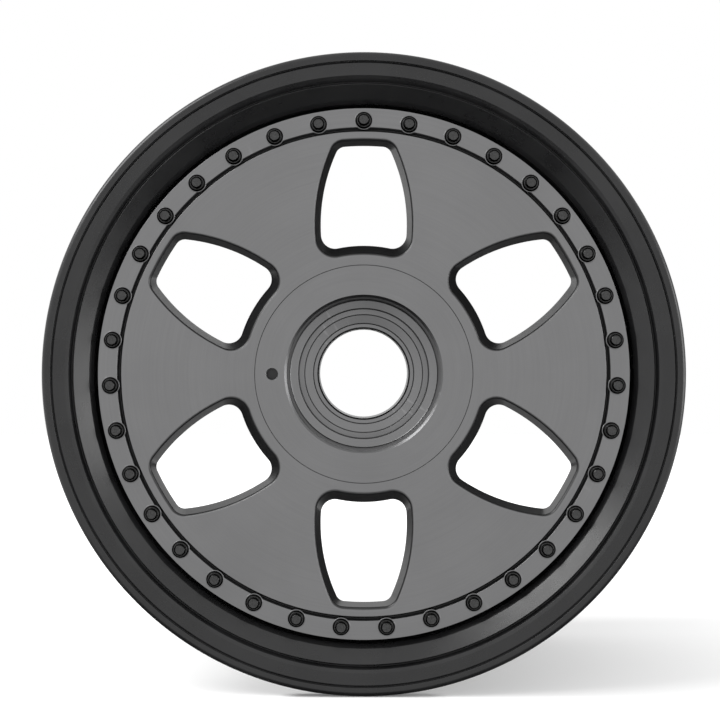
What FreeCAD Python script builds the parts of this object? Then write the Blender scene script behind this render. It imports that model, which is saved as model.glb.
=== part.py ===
import FreeCAD, Part
import math
import os
import re
import Sketcher

# A two-piece forged car wheel with a centre-lock hub, standing upright.
# The wheel turns about Y, its street side faces -Y and +Z is up.
# The origin is on the axis, halfway between the two rim flanges.

# Driving dimensions in millimetres.
SIZES = {
    # rim: standard flanges and bead seats
    "rim_width": 254.0,
    "bead_radius": 243.7,
    "flange_height": 17.3,
    "flange_thickness": 13.0,
    "flange_ease": 4.0,
    "seat_width": 20.0,
    "seat_drop": 1.75,
    # rim: drop-centre well and barrel
    "well_drop": 22.7,
    "well_slope": 13.0,
    "well_width": 42.0,
    "barrel_drop": 7.7,
    "barrel_shoulder": 22.0,
    "barrel_wall": 4.0,
    "rear_lip_width": 9.0,
    # rim: street-side lip
    "roll_width": 7.4,
    "roll_step": 0.8,
    "roll_front": 3.0,
    "roll_depth": 4.6,
    "band_width": 11.7,
    "shoulder_width": 5.0,
    "shoulder_drop": 2.7,
    "ledge_width": 3.2,
    "cone_drop": 7.4,
    "lip_ease": 3.5,
    "lip_ease_drop": 5.0,
    # rim: the flange that carries the disc
    "edge_gap": 4.2,
    "mount_floor": 1.5,
    "spigot_clearance": 0.3,
    # disc: bolted flange and face
    "disc_inset": 27.5,
    "land_depth": 10.0,
    "land_width": 15.4,
    "land_groove_width": 3.3,
    "land_groove_depth": 3.0,
    "disc_flange": 10.0,
    "flange_overlap": 20.7,
    "spigot_length": 7.0,
    # disc: windows between the spokes
    "window_margin": 28.8,
    "window_inner": 104.8,
    "window_half_width": 35.3,
    "window_widest": 122.9,
    "window_side_bow": 15.4,
    "window_outer_corner": 8.2,
    "window_inner_corner": 11.5,
    "window_bevel": 7.0,
    "window_bevel_depth": 16.0,
    # disc: hub
    "bore_radius": 38.0,
    "throat_step": 4.5,
    "throat_depth": 3.5,
    "ring_flare": 7.4,
    "ring_width": 5.0,
    "seat_flare": 7.7,
    "seat_depth": 4.0,
    "nut_well_depth": 44.5,
    "opening_chamfer": 2.1,
    "boss_flare": 10.0,
    "wheel_offset": 38.0,
    "index_inset": 10.1,
    "index_radius": 4.65,
    "index_depth": 6.0,
    # drive bushes in the back of the hub
    "drive_inset": 27.0,
    "bush_radius": 10.0,
    "bush_bore": 7.1,
    "bush_length": 28.0,
    "bush_wall": 5.0,
    "bush_clearance": 0.02,
    # bolts that hold the disc to the rim
    "bolt_inset": 9.6,
    "bolt_head_radius": 6.9,
    "bolt_head_height": 5.5,
    "bolt_shank_radius": 3.5,
    "bolt_grip": 7.0,
    "bolt_end_space": 0.5,
    "bolt_clearance": 0.2,
    # tyre valve in the floor of the well
    "valve_hole": 4.2,
    "valve_clearance": 0.1,
    "spot_radius": 9.0,
    "spot_depth": 0.25,
    "valve_head_radius": 8.0,
    "valve_head": 2.5,
    "seal_radius": 7.6,
    "seal_thickness": 3.0,
    "washer_radius": 7.4,
    "washer_thickness": 1.0,
    "nut_radius": 6.9,
    "nut_thickness": 4.5,
    "cap_space": 1.0,
    "cap_radius": 5.4,
    "cap_length": 11.0,
    "cap_end": 2.0,
    "passage_radius": 1.5,
    "core_length": 12.0,
    "core_recess": 0.6,
}

# Whole numbers: repeats about the axis, and sides of the fasteners.
WINDOW_COUNT = 6
BOLT_COUNT = 35
DRIVE_COUNT = 5
BOLT_HEAD_SIDES = 12
BOLT_SHANK_SIDES = 6
NUT_SIDES = 6

# Places along Y and radii that follow from the driving dimensions.
FRONT = "(-rim_width / 2 - flange_thickness)"
REAR = "(rim_width / 2 + flange_thickness)"
RIM_RADIUS = "(bead_radius + flange_height)"
BAND_Y = f"({FRONT} + roll_step)"
BAND_OUTER = f"({RIM_RADIUS} - roll_width)"
BAND_INNER = f"({BAND_OUTER} - band_width)"
SHOULDER_Y = f"({BAND_Y} + shoulder_drop)"
SHOULDER_INNER = f"({BAND_INNER} - shoulder_width)"
DISC_RADIUS = "(bead_radius - disc_inset)"
POCKET_RADIUS = f"({DISC_RADIUS} + edge_gap)"
SPIGOT_RADIUS = f"({DISC_RADIUS} - flange_overlap)"
BOLT_CIRCLE = f"({DISC_RADIUS} - bolt_inset)"
LAND_INNER = f"({DISC_RADIUS} - land_width)"
WINDOW_OUTER = f"({DISC_RADIUS} - window_margin)"
SIDE_HEIGHT = f"({WINDOW_OUTER} - window_widest)"
SIDE_RADIUS = f"({SIDE_HEIGHT} ^ 2 / (2 * window_side_bow) + window_side_bow / 2)"
LAND_Y = f"({FRONT} + land_depth)"
SEAT_Y = f"({LAND_Y} + disc_flange)"
WEB_BACK_Y = f"({SEAT_Y} + spigot_length)"
TAPPED_DEPTH = "(bolt_grip + bolt_end_space)"
MOUNT_FLANGE_BACK = f"({SEAT_Y} + {TAPPED_DEPTH} + mount_floor)"
MOUNT_FLANGE_BORE = f"({SPIGOT_RADIUS} + spigot_clearance)"
SEAT_END = "(rim_width / 2 - seat_width)"
SEAT_FOOT = "(bead_radius - seat_drop)"
WELL_FRONT_Y = f"(-{SEAT_END} + well_slope)"
WELL_REAR_Y = f"({WELL_FRONT_Y} + well_width)"
BARREL_Y = f"({WELL_REAR_Y} + barrel_shoulder)"
WELL_RADIUS = "(bead_radius - well_drop)"
WELL_INSIDE = f"({WELL_RADIUS} - barrel_wall)"
BARREL_RADIUS = "(bead_radius - barrel_drop)"
BARREL_INSIDE = f"({BARREL_RADIUS} - barrel_wall)"
THROAT_RADIUS = "(bore_radius + throat_step)"
RING_INNER = f"({THROAT_RADIUS} + ring_flare)"
RING_OUTER = f"({RING_INNER} + ring_width)"
NUT_WELL_RADIUS = f"({RING_OUTER} + seat_flare)"
OPENING_RADIUS = f"({NUT_WELL_RADIUS} + opening_chamfer)"
INDEX_CIRCLE = f"({OPENING_RADIUS} + index_inset)"
DRIVE_CIRCLE = "(bore_radius + drive_inset)"
MOUNTING_RADIUS = f"({DRIVE_CIRCLE} + bush_radius + bush_wall)"
NUT_WELL_Y = f"({LAND_Y} + nut_well_depth)"
RING_Y = f"({NUT_WELL_Y} + seat_depth)"
THROAT_Y = f"({RING_Y} + throat_depth)"
MOUNTING_Y = "(-wheel_offset)"
VALVE_Y = f"({WELL_FRONT_Y} + well_width / 2)"
VALVE_WALL = "(barrel_wall - 2 * spot_depth)"
VALVE_NECK = "(valve_hole - valve_clearance)"
NUT_FOOT = f"({VALVE_WALL} + washer_thickness)"
CAP_FOOT = f"({NUT_FOOT} + nut_thickness + cap_space)"
CAP_INSIDE = f"({CAP_FOOT} + cap_length - cap_end)"
STEM_END = f"({CAP_INSIDE} - valve_clearance)"

doc = FreeCAD.newDocument("ForgedWheel")
sheet = doc.addObject("Spreadsheet::Sheet", "Sizes")
for row, (name, number) in enumerate(SIZES.items(), start=1):
    sheet.set(f"A{row}", name)
    sheet.set(f"B{row}", str(number))
    sheet.setAlias(f"B{row}", name)
doc.recompute()


def bound(text):
    """The expression with each size's name led by the sheet's."""
    return re.sub(r"[a-z_]+", lambda word: "Sizes." + word[0] if word[0] in SIZES else word[0], text)


def value(text):
    """What an expression of sizes comes to."""
    return float(sheet.evalExpression(text))


def bind(item, name, text):
    item.setExpression(name, bound(text))


def new_body(label):
    body = doc.addObject("PartDesign::Body", label)
    body.Label = label
    return body


def origin_feature(body, role):
    return next(feature for feature in body.Origin.OriginFeatures if feature.Role == role)


def new_sketch(body, name, role, place="0"):
    """A sketch on an origin plane. On XZ_Plane the place is a distance along Y."""
    sketch = body.newObject("Sketcher::SketchObject", name)
    sketch.AttachmentSupport = (origin_feature(body, role), "")
    sketch.MapMode = "FlatFace"
    if role == "XZ_Plane":
        bind(sketch, "AttachmentOffset.Base.z", f"-({place})")
    return sketch


def pin_point(sketch, geometry, point, across, up):
    """Ties one point of a sketch to two expressions, measured from the origin."""
    for kind, text in (("DistanceX", across), ("DistanceY", up)):
        place = sketch.addConstraint(Sketcher.Constraint(kind, -1, 1, geometry, point, value(text)))
        bind(sketch, f"Constraints[{place}]", text)


def set_radius(sketch, geometry, radius):
    place = sketch.addConstraint(Sketcher.Constraint("Radius", geometry, value(radius)))
    bind(sketch, f"Constraints[{place}]", radius)


def draw_lines(sketch, points):
    """A closed run of straight lines. Gives the number of the first one."""
    count = len(points)
    first = sketch.GeometryCount
    for index in range(count):
        sketch.addGeometry(Part.LineSegment(points[index], points[(index + 1) % count]), False)
    for index in range(count):
        after = first + (index + 1) % count
        sketch.addConstraint(Sketcher.Constraint("Coincident", first + index, 2, after, 1))
    return first


def draw_outline(sketch, corners):
    """A closed outline through corners given as pairs of expressions."""
    points = [FreeCAD.Vector(value(across), value(up), 0) for across, up in corners]
    first = draw_lines(sketch, points)
    for index, (across, up) in enumerate(corners):
        pin_point(sketch, first + index, 1, across, up)


def draw_circle(sketch, radius, across, up, helper=False):
    centre = FreeCAD.Vector(value(across), value(up), 0)
    circle = sketch.addGeometry(Part.Circle(centre, FreeCAD.Vector(0, 0, 1), value(radius)), helper)
    pin_point(sketch, circle, 3, across, up)
    set_radius(sketch, circle, radius)
    return circle


def draw_polygon(sketch, sides, radius, across, up):
    """An even polygon inside a circle, with one corner straight above its centre."""
    circle = draw_circle(sketch, radius, across, up, helper=True)
    points = []
    for index in range(sides):
        angle = math.pi / 2 - index * 2 * math.pi / sides
        points.append(FreeCAD.Vector(
            value(across) + value(radius) * math.cos(angle), value(up) + value(radius) * math.sin(angle), 0
        ))
    first = draw_lines(sketch, points)
    for index in range(first, first + sides):
        sketch.addConstraint(Sketcher.Constraint("PointOnObject", index, 1, circle))
        if index > first + 1:
            sketch.addConstraint(Sketcher.Constraint("Equal", first, index))
    sketch.addConstraint(Sketcher.Constraint("Vertical", first, 1, circle, 3))


def turn(body, name, corners):
    """A solid turned about the upright axis of its profile: corners are (radius, place)."""
    sketch = new_sketch(body, name + "_profile", "XY_Plane")
    draw_outline(sketch, corners)
    turned = body.newObject("PartDesign::Revolution", name)
    turned.Profile = sketch
    turned.ReferenceAxis = (sketch, ["V_Axis"])
    turned.Angle = 360
    doc.recompute()
    return turned


def pad(body, name, sketch, length, towards_rear):
    """Grows a sketch on a plane across the axis. Such a sketch looks to the street side."""
    grown = body.newObject("PartDesign::Pad", name)
    grown.Profile = sketch
    grown.Reversed = towards_rear
    bind(grown, "Length", length)
    doc.recompute()
    return grown


def pocket(body, name, sketch, length, towards_rear):
    """Cuts a sketch on a plane across the axis, and makes sure that it took material away."""
    before = body.Shape.Volume
    cut = body.newObject("PartDesign::Pocket", name)
    cut.Profile = sketch
    cut.Reversed = not towards_rear
    bind(cut, "Length", length)
    doc.recompute()
    if not body.Shape.Volume < before:
        raise RuntimeError(f"{name} cut nothing")
    return cut


def repeat(body, name, features, count):
    """Copies of the features about the wheel's axis, evenly spaced over a full turn."""
    pattern = body.newObject("PartDesign::PolarPattern", name)
    pattern.Originals = features
    pattern.Axis = (origin_feature(body, "Y_Axis"), [""])
    pattern.Angle = 360
    pattern.Occurrences = count
    body.Tip = pattern
    doc.recompute()
    return pattern


def crossing(first, second, centre):
    """The right-hand crossing of a circle about the axis and one about another centre."""
    gap = math.hypot(centre[0], centre[1])
    along = (first ** 2 - second ** 2 + gap ** 2) / (2 * gap)
    off = math.sqrt(first ** 2 - along ** 2)
    unit = (centre[0] / gap, centre[1] / gap)
    return (along * unit[0] + off * unit[1], along * unit[1] - off * unit[0])


def reach(centre, radius, towards):
    """The point of a circle that lies towards another point."""
    scale = radius / math.hypot(towards[0] - centre[0], towards[1] - centre[1])
    return (centre[0] + (towards[0] - centre[0]) * scale, centre[1] + (towards[1] - centre[1]) * scale)


def mirrored(point):
    return (-point[0], point[1])


def window_arcs():
    """The eight arcs of the top window, clockwise from its outer edge: centre, radius, ends."""
    axis = (0, 0)
    side = (value(f"window_half_width - {SIDE_RADIUS}"), value("window_widest"))
    outer_corner = crossing(
        value(f"{WINDOW_OUTER} - window_outer_corner"),
        value(f"{SIDE_RADIUS} - window_outer_corner"),
        side,
    )
    inner_corner = crossing(
        value("window_inner + window_inner_corner"),
        value(f"{SIDE_RADIUS} - window_inner_corner"),
        side,
    )
    outer_end = reach(axis, value(WINDOW_OUTER), outer_corner)
    side_top = reach(side, value(SIDE_RADIUS), outer_corner)
    side_foot = reach(side, value(SIDE_RADIUS), inner_corner)
    inner_end = reach(axis, value("window_inner"), inner_corner)
    right = [
        (outer_corner, "window_outer_corner", outer_end, side_top),
        (side, SIDE_RADIUS, side_top, side_foot),
        (inner_corner, "window_inner_corner", side_foot, inner_end),
    ]
    left = [(mirrored(c), r, mirrored(b), mirrored(a)) for c, r, a, b in reversed(right)]
    outer_edge = (axis, WINDOW_OUTER, mirrored(outer_end), outer_end)
    hub_edge = (axis, "window_inner", inner_end, mirrored(inner_end))
    return [outer_edge, *right, hub_edge, *left]


def draw_window(sketch):
    """Eight tangent arcs: outer edge, corner, side, corner, hub edge and back again."""
    arcs = window_arcs()
    outer_edge, right_side, hub_edge, left_side = 0, 2, 4, 6
    for index, (centre, radius, start, end) in enumerate(arcs):
        angles = [math.atan2(point[1] - centre[1], point[0] - centre[0]) for point in (end, start)]
        if index == hub_edge:
            angles.reverse()
        circle = Part.Circle(FreeCAD.Vector(*centre, 0), FreeCAD.Vector(0, 0, 1), value(radius))
        sketch.addGeometry(Part.ArcOfCircle(circle, *angles), False)
    for index in range(len(arcs)):
        after = (index + 1) % len(arcs)
        last_point = 2 if index == hub_edge else 1
        first_point = 1 if after == hub_edge else 2
        sketch.addConstraint(Sketcher.Constraint("Tangent", index, last_point, after, first_point))
    for index, (centre, radius, start, end) in enumerate(arcs):
        set_radius(sketch, index, radius)
    for index in (outer_edge, hub_edge):
        sketch.addConstraint(Sketcher.Constraint("Coincident", index, 3, -1, 1))
    pin_point(sketch, right_side, 3, f"window_half_width - {SIDE_RADIUS}", "window_widest")
    pin_point(sketch, left_side, 3, f"{SIDE_RADIUS} - window_half_width", "window_widest")


def window_front_edges(shape):
    """Names of the edges where the windows break through the street face."""
    names = []
    slack = 0.05
    low, high = value("window_inner") - slack, value(WINDOW_OUTER) + slack
    for index, edge in enumerate(shape.Edges, start=1):
        middle = edge.valueAt((edge.FirstParameter + edge.LastParameter) / 2)
        radius = math.hypot(middle.x, middle.z)
        if low < radius < high and abs(middle.y - value(LAND_Y)) < slack:
            names.append(f"Edge{index}")
    return names


def make_disc():
    """The forged and machined centre: bolted flange, six-window face and centre-lock hub."""
    body = new_body("centre_disc")
    turn(body, "disc_blank", [
        (DISC_RADIUS, LAND_Y),
        (LAND_INNER, LAND_Y),
        (f"{LAND_INNER} - land_groove_width / 2", f"{LAND_Y} + land_groove_depth"),
        (f"{LAND_INNER} - land_groove_width", LAND_Y),
        (OPENING_RADIUS, LAND_Y),
        (NUT_WELL_RADIUS, f"{LAND_Y} + opening_chamfer"),
        (NUT_WELL_RADIUS, NUT_WELL_Y),
        (RING_OUTER, RING_Y),
        (RING_INNER, RING_Y),
        (THROAT_RADIUS, THROAT_Y),
        ("bore_radius", THROAT_Y),
        ("bore_radius", MOUNTING_Y),
        (MOUNTING_RADIUS, MOUNTING_Y),
        (MOUNTING_RADIUS, f"{WEB_BACK_Y} + boss_flare"),
        (f"{MOUNTING_RADIUS} + boss_flare", WEB_BACK_Y),
        (SPIGOT_RADIUS, WEB_BACK_Y),
        (SPIGOT_RADIUS, SEAT_Y),
        (DISC_RADIUS, SEAT_Y),
    ])
    opening = new_sketch(body, "window_outline", "XZ_Plane", LAND_Y)
    draw_window(opening)
    window = pocket(body, "window", opening, "disc_flange + spigot_length", towards_rear=True)
    windows = repeat(body, "windows", [window], WINDOW_COUNT)
    bevel = body.newObject("PartDesign::Chamfer", "window_bevels")
    bevel.Base = (windows, window_front_edges(windows.Shape))
    bevel.ChamferType = "Two distances"
    bind(bevel, "Size", "window_bevel")
    bind(bevel, "Size2", "window_bevel_depth")
    doc.recompute()
    bolt_outline = new_sketch(body, "bolt_hole_outline", "XZ_Plane", LAND_Y)
    draw_polygon(bolt_outline, BOLT_SHANK_SIDES, "bolt_shank_radius + bolt_clearance", "0", BOLT_CIRCLE)
    bolt_hole = pocket(body, "bolt_hole", bolt_outline, "disc_flange", towards_rear=True)
    repeat(body, "bolt_holes", [bolt_hole], BOLT_COUNT)
    drive_outline = new_sketch(body, "drive_hole_outline", "XZ_Plane", MOUNTING_Y)
    draw_circle(drive_outline, "bush_radius + bush_clearance", "0", DRIVE_CIRCLE)
    drive_hole = pocket(body, "drive_hole", drive_outline, "bush_length", towards_rear=False)
    repeat(body, "drive_holes", [drive_hole], DRIVE_COUNT)
    index_outline = new_sketch(body, "index_hole_outline", "XZ_Plane", LAND_Y)
    draw_circle(index_outline, "index_radius", f"-{INDEX_CIRCLE}", "0")
    pocket(body, "index_hole", index_outline, "index_depth", towards_rear=True)
    return body


def make_rim():
    """The forged rim in one piece: lip, bead seats, well, barrel and the disc's flange."""
    body = new_body("rim")
    turn(body, "rim_blank", [
        (BAND_OUTER, FRONT),
        (f"{BAND_OUTER} + roll_front", FRONT),
        (RIM_RADIUS, f"{FRONT} + roll_depth"),
        (RIM_RADIUS, "-rim_width / 2 - flange_ease"),
        (f"{RIM_RADIUS} - flange_ease", "-rim_width / 2"),
        ("bead_radius", "-rim_width / 2"),
        (SEAT_FOOT, f"-{SEAT_END}"),
        (WELL_RADIUS, WELL_FRONT_Y),
        (WELL_RADIUS, WELL_REAR_Y),
        (BARREL_RADIUS, BARREL_Y),
        (BARREL_RADIUS, f"{SEAT_END} - ({SEAT_FOOT} - {BARREL_RADIUS})"),
        (SEAT_FOOT, SEAT_END),
        ("bead_radius", "rim_width / 2"),
        (f"{RIM_RADIUS} - flange_ease", "rim_width / 2"),
        (RIM_RADIUS, "rim_width / 2 + flange_ease"),
        (RIM_RADIUS, REAR),
        (f"{RIM_RADIUS} - rear_lip_width", REAR),
        (BARREL_INSIDE, f"{SEAT_END} + seat_width / 2"),
        (BARREL_INSIDE, BARREL_Y),
        (WELL_INSIDE, WELL_REAR_Y),
        (WELL_INSIDE, MOUNT_FLANGE_BACK),
        (MOUNT_FLANGE_BORE, MOUNT_FLANGE_BACK),
        (MOUNT_FLANGE_BORE, SEAT_Y),
        (POCKET_RADIUS, SEAT_Y),
        (POCKET_RADIUS, f"{SHOULDER_Y} + cone_drop + lip_ease_drop"),
        (f"{POCKET_RADIUS} + lip_ease", f"{SHOULDER_Y} + cone_drop"),
        (f"{SHOULDER_INNER} - ledge_width", SHOULDER_Y),
        (SHOULDER_INNER, SHOULDER_Y),
        (BAND_INNER, BAND_Y),
        (BAND_OUTER, BAND_Y),
    ])
    tapped_outline = new_sketch(body, "tapped_hole_outline", "XZ_Plane", SEAT_Y)
    draw_polygon(tapped_outline, BOLT_SHANK_SIDES, "bolt_shank_radius + bolt_clearance", "0", BOLT_CIRCLE)
    tapped_hole = pocket(body, "tapped_hole", tapped_outline, TAPPED_DEPTH, towards_rear=True)
    repeat(body, "tapped_holes", [tapped_hole], BOLT_COUNT)
    bore_valve_hole(body)
    return body


def bore_valve_hole(body):
    """A round hole with a flat seat on each side, through the well floor at nine o'clock."""
    cuts = (
        ("valve_bore", "valve_hole", f"{WELL_RADIUS} + barrel_wall", "3 * barrel_wall"),
        ("outer_spot", "spot_radius", f"{WELL_RADIUS} + barrel_wall", "barrel_wall + spot_depth"),
        ("inner_spot", "spot_radius", f"{WELL_INSIDE} + spot_depth", "barrel_wall"),
    )
    for name, radius, start, length in cuts:
        before = body.Shape.Volume
        bar = body.newObject("PartDesign::SubtractiveCylinder", name)
        bar.Placement = FreeCAD.Placement(
            FreeCAD.Vector(0, 0, 0), FreeCAD.Rotation(FreeCAD.Vector(0, 1, 0), 90)
        )
        bind(bar, "Radius", radius)
        bind(bar, "Height", length)
        bind(bar, ".Placement.Base.x", f"-({start})")
        bind(bar, ".Placement.Base.y", VALVE_Y)
        doc.recompute()
        if not body.Shape.Volume < before:
            raise RuntimeError(f"{name} cut nothing")


def make_bolts():
    """Twelve-sided bolts on the land, each with its shank through the disc and in the rim."""
    body = new_body("rim_bolts")
    head_outline = new_sketch(body, "head_outline", "XZ_Plane", LAND_Y)
    draw_polygon(head_outline, BOLT_HEAD_SIDES, "bolt_head_radius", "0", BOLT_CIRCLE)
    head = pad(body, "bolt_head", head_outline, "bolt_head_height", towards_rear=False)
    shank_outline = new_sketch(body, "shank_outline", "XZ_Plane", LAND_Y)
    draw_polygon(shank_outline, BOLT_SHANK_SIDES, "bolt_shank_radius", "0", BOLT_CIRCLE)
    shank = pad(body, "bolt_shank", shank_outline, "disc_flange + bolt_grip", towards_rear=True)
    repeat(body, "bolts", [head, shank], BOLT_COUNT)
    return body


def make_bushes():
    """Steel bushes for the hub's drive pins, flush with the mounting face."""
    body = new_body("drive_bushes")
    ring = new_sketch(body, "bush_outline", "XZ_Plane", MOUNTING_Y)
    draw_circle(ring, "bush_radius", "0", DRIVE_CIRCLE)
    draw_circle(ring, "bush_bore", "0", DRIVE_CIRCLE)
    bush = pad(body, "bush", ring, "bush_length", towards_rear=False)
    repeat(body, "bushes", [bush], DRIVE_COUNT)
    return body


def valve_body(label):
    """A body whose own Y runs from the valve's outer seat towards the wheel's axis."""
    body = new_body(label)
    body.Placement = FreeCAD.Placement(
        FreeCAD.Vector(0, 0, 0), FreeCAD.Rotation(FreeCAD.Vector(0, 0, 1), -90)
    )
    bind(body, ".Placement.Base.x", f"-({WELL_RADIUS} - spot_depth)")
    bind(body, ".Placement.Base.y", VALVE_Y)
    return body


def ring_corners(inner, outer, start, end):
    """The section of a plain ring."""
    return [(inner, start), (outer, start), (outer, end), (inner, end)]


def make_valve():
    """A clamp-in metal valve: stem, seal, washer, nut, core and cap."""
    stem = valve_body("valve_stem")
    turn(stem, "stem_turned", [
        ("passage_radius", "-seal_thickness - valve_head"),
        ("valve_head_radius", "-seal_thickness - valve_head"),
        ("valve_head_radius", "-seal_thickness"),
        (VALVE_NECK, "-seal_thickness"),
        (VALVE_NECK, STEM_END),
        ("passage_radius", STEM_END),
    ])
    seal = valve_body("valve_seal")
    turn(seal, "seal_ring", ring_corners("valve_hole", "seal_radius", "-seal_thickness", "0"))
    washer = valve_body("valve_washer")
    turn(washer, "washer_ring", ring_corners("valve_hole", "washer_radius", VALVE_WALL, NUT_FOOT))
    nut = valve_body("valve_nut")
    nut_outline = new_sketch(nut, "nut_outline", "XZ_Plane", NUT_FOOT)
    draw_polygon(nut_outline, NUT_SIDES, "nut_radius", "0", "0")
    draw_circle(nut_outline, "valve_hole", "0", "0")
    pad(nut, "nut_pad", nut_outline, "nut_thickness", towards_rear=True)
    core = valve_body("valve_core")
    core_end = f"({STEM_END} - core_recess)"
    turn(core, "core_turned", ring_corners(
        "0", "passage_radius - valve_clearance", f"{core_end} - core_length", core_end
    ))
    cap = valve_body("valve_cap")
    turn(cap, "cap_turned", [
        (f"{VALVE_NECK} + valve_clearance", CAP_FOOT),
        ("cap_radius", CAP_FOOT),
        ("cap_radius", f"{CAP_FOOT} + cap_length"),
        ("0", f"{CAP_FOOT} + cap_length"),
        ("0", CAP_INSIDE),
        (f"{VALVE_NECK} + valve_clearance", CAP_INSIDE),
    ])
    return [stem, seal, washer, nut, core, cap]


def fault_of(part):
    """What is wrong with a finished sub-part, if anything."""
    shape = part.Shape
    if shape.isNull():
        return "no shape"
    if not shape.isValid():
        return "shape not valid"
    if not shape.Solids:
        return "no solid"
    return ""


PARTS = [make_disc(), make_rim(), make_bolts(), make_bushes(), *make_valve()]
doc.recompute()
for item in doc.Objects:
    if any(state in ("Invalid", "Error") for state in item.State):
        raise RuntimeError(f"{item.Label} failed: {item.State}")
for part in PARTS:
    fault = fault_of(part)
    if fault:
        raise RuntimeError(f"{part.Label}: {fault}")

os.makedirs("parts", exist_ok=True)
for part in PARTS:
    part.Shape.exportStep(f"parts/{part.Label}.step")
    box = part.Shape.BoundBox
    print(f"{part.Label}: {len(part.Shape.Solids)} solids, {part.Shape.Volume / 1000:.1f} cm3,"
          f" Y {box.YMin:.1f}..{box.YMax:.1f}")
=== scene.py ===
import math

import bmesh
import bpy
from mathutils import Matrix, Vector


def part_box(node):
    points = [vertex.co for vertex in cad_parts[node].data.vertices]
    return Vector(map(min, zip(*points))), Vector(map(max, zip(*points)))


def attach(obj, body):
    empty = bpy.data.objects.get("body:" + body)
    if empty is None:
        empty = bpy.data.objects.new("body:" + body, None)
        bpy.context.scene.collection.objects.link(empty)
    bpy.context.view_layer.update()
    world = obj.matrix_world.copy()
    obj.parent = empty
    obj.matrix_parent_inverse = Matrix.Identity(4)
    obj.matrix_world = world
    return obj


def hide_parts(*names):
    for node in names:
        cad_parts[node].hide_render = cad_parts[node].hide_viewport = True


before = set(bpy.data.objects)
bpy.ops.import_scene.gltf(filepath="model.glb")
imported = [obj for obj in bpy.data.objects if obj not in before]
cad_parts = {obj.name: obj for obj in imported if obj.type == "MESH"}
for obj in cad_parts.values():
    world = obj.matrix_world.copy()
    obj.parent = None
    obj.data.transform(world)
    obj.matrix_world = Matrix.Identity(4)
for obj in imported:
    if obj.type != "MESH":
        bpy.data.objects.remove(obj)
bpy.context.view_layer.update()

# Sizes in millimetres, taken from the wheel's solids. Radii are about the wheel's axis, and depths run
# along it: the street is at the negative end.

MM = 0.001
AXIS = (0, -1, 0)
TURN_STEPS = 360
NEAR = 0.01
ROUND_STEP = math.radians(14)
SHARP_ANGLE = math.radians(34)

rim_low, rim_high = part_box("rim")
disc_low, disc_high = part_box("centre_disc")
bolts_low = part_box("rim_bolts")[0]
bushes_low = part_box("drive_bushes")[0]

RIM_RADIUS = rim_high.x / MM
RIM_FRONT = rim_low.y / MM
RIM_REAR = rim_high.y / MM
FLOOR = rim_low.z
DISC_RADIUS = disc_high.x / MM
LAND = disc_low.y / MM
HUB_BACK = disc_high.y / MM
BOLT_TOP = bolts_low.y / MM
BUSH_END = bushes_low.y / MM

FLANGE_BACK = LAND + 10
WEB_BACK = LAND + 17
SPIGOT_RADIUS = DISC_RADIUS - 20.7
LAND_INNER = DISC_RADIUS - 15.0
GROOVE_INNER = LAND_INNER - 3.7
GROOVE_FLOOR = LAND + 3
GROOVE_WALL = 1.7
DISC_EDGE = DISC_RADIUS + 0.4

WINDOW_COUNT = 6
WINDOW_OUTER = DISC_RADIUS - 28.1
WINDOW_INNER = 105.8
WINDOW_HALF_WIDTH = 35.5
WINDOW_WIDEST = 122.9
WINDOW_SIDE_BOW = 15.4
WINDOW_OUTER_CORNER = 8.2
WINDOW_INNER_CORNER = 11.5
# How far the edge lies outside the rear outline: towards the lip, at the side and towards the hub.
WINDOW_FACE = Vector((5.5, 6.0, 10.1))
WINDOW_DRAFT = Vector((2.0, 3.7, 6.8))
WINDOW_ROUNDING = 3.2
WINDOW_ROUNDING_ANGLE = math.radians(68)
WINDOW_REAR_EASE = 0.5
OUTER_EDGE_STEPS = 4
OUTER_CORNER_STEPS = 30
SIDE_STEPS = 20
INNER_CORNER_STEPS = 24
INNER_EDGE_STEPS = 10
ROUNDING_STEPS = 8
WEB_OUTER = SPIGOT_RADIUS - 0.5
WEB_INNER = 92.0

BORE = 38.0
BORE_CHAMFER = 1.4
THROAT = 42.5
THROAT_DEPTH = LAND + 52
RING_INNER = 49.9
RING_OUTER = 54.9
RING_DEPTH = LAND + 48.5
RING_LINE_HALF = 0.4
SEAT_LINE_HALF = 0.5
NUT_WELL = 62.6
NUT_WELL_FOOT = LAND + 44.5
OPENING = 64.7
TURNED_LINE = 88.9
TURNED_LINE_HALF = 0.3
TURNED_LINE_DEPTH = 0.4
BOSS = 80.0
BOSS_FLARE = 10.0
INDEX_CIRCLE = 74.8
INDEX_RADIUS = 4.65
INDEX_DEPTH = 6.0
FACE_STRIP_OUTER = 86.5
FACE_STRIP_INNER = 66.8
BACK_STRIP_OUTER = BOSS - 1.5
BACK_STRIP_INNER = BORE + 1.5
DRIVE_COUNT = 5
DRIVE_CIRCLE = 65.0
DRIVE_RADIUS = 10.02
HOLE_EASE = 0.4
HOLE_SIDES = 64

BOLT_COUNT = 35
BOLT_CIRCLE = DISC_RADIUS - 9.6
BOLT_PAD_RADIUS = 7.55
BOLT_PAD_PROUD = 0.12
BOLT_PAD_FOOT = GROOVE_FLOOR + 0.3
BOLT_FLANGE = 6.9
BOLT_FLANGE_EDGE = LAND - 0.9
BOLT_COLLAR = 5.6
BOLT_COLLAR_DEPTH = LAND - 2.2
BOLT_HEAD = 4.95
BOLT_HEAD_VALLEY = 4.6
BOLT_POINTS = 12
BOLT_TOP_RADIUS = 3.7
BOLT_DISH_RADIUS = 2.9
BOLT_DISH = 0.12
BOLT_BRIM_SCALE = 0.9
BOLT_STEPS = 48

# Black in the disc's recesses, partly a black coat and partly painted shade: its start and full strength
# behind the face, its end at the back, and the radii between which the hub stays bare.
PAINT_AND_SHADE_START = LAND + 0.03
PAINT_AND_SHADE_FULL = LAND + 0.55
PAINT_AND_SHADE_END = WEB_BACK - 0.2
PAINT_AND_SHADE_OUTSIDE = OPENING + 1.3
PAINT_AND_SHADE_WITHIN = BORE + 1.2

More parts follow.
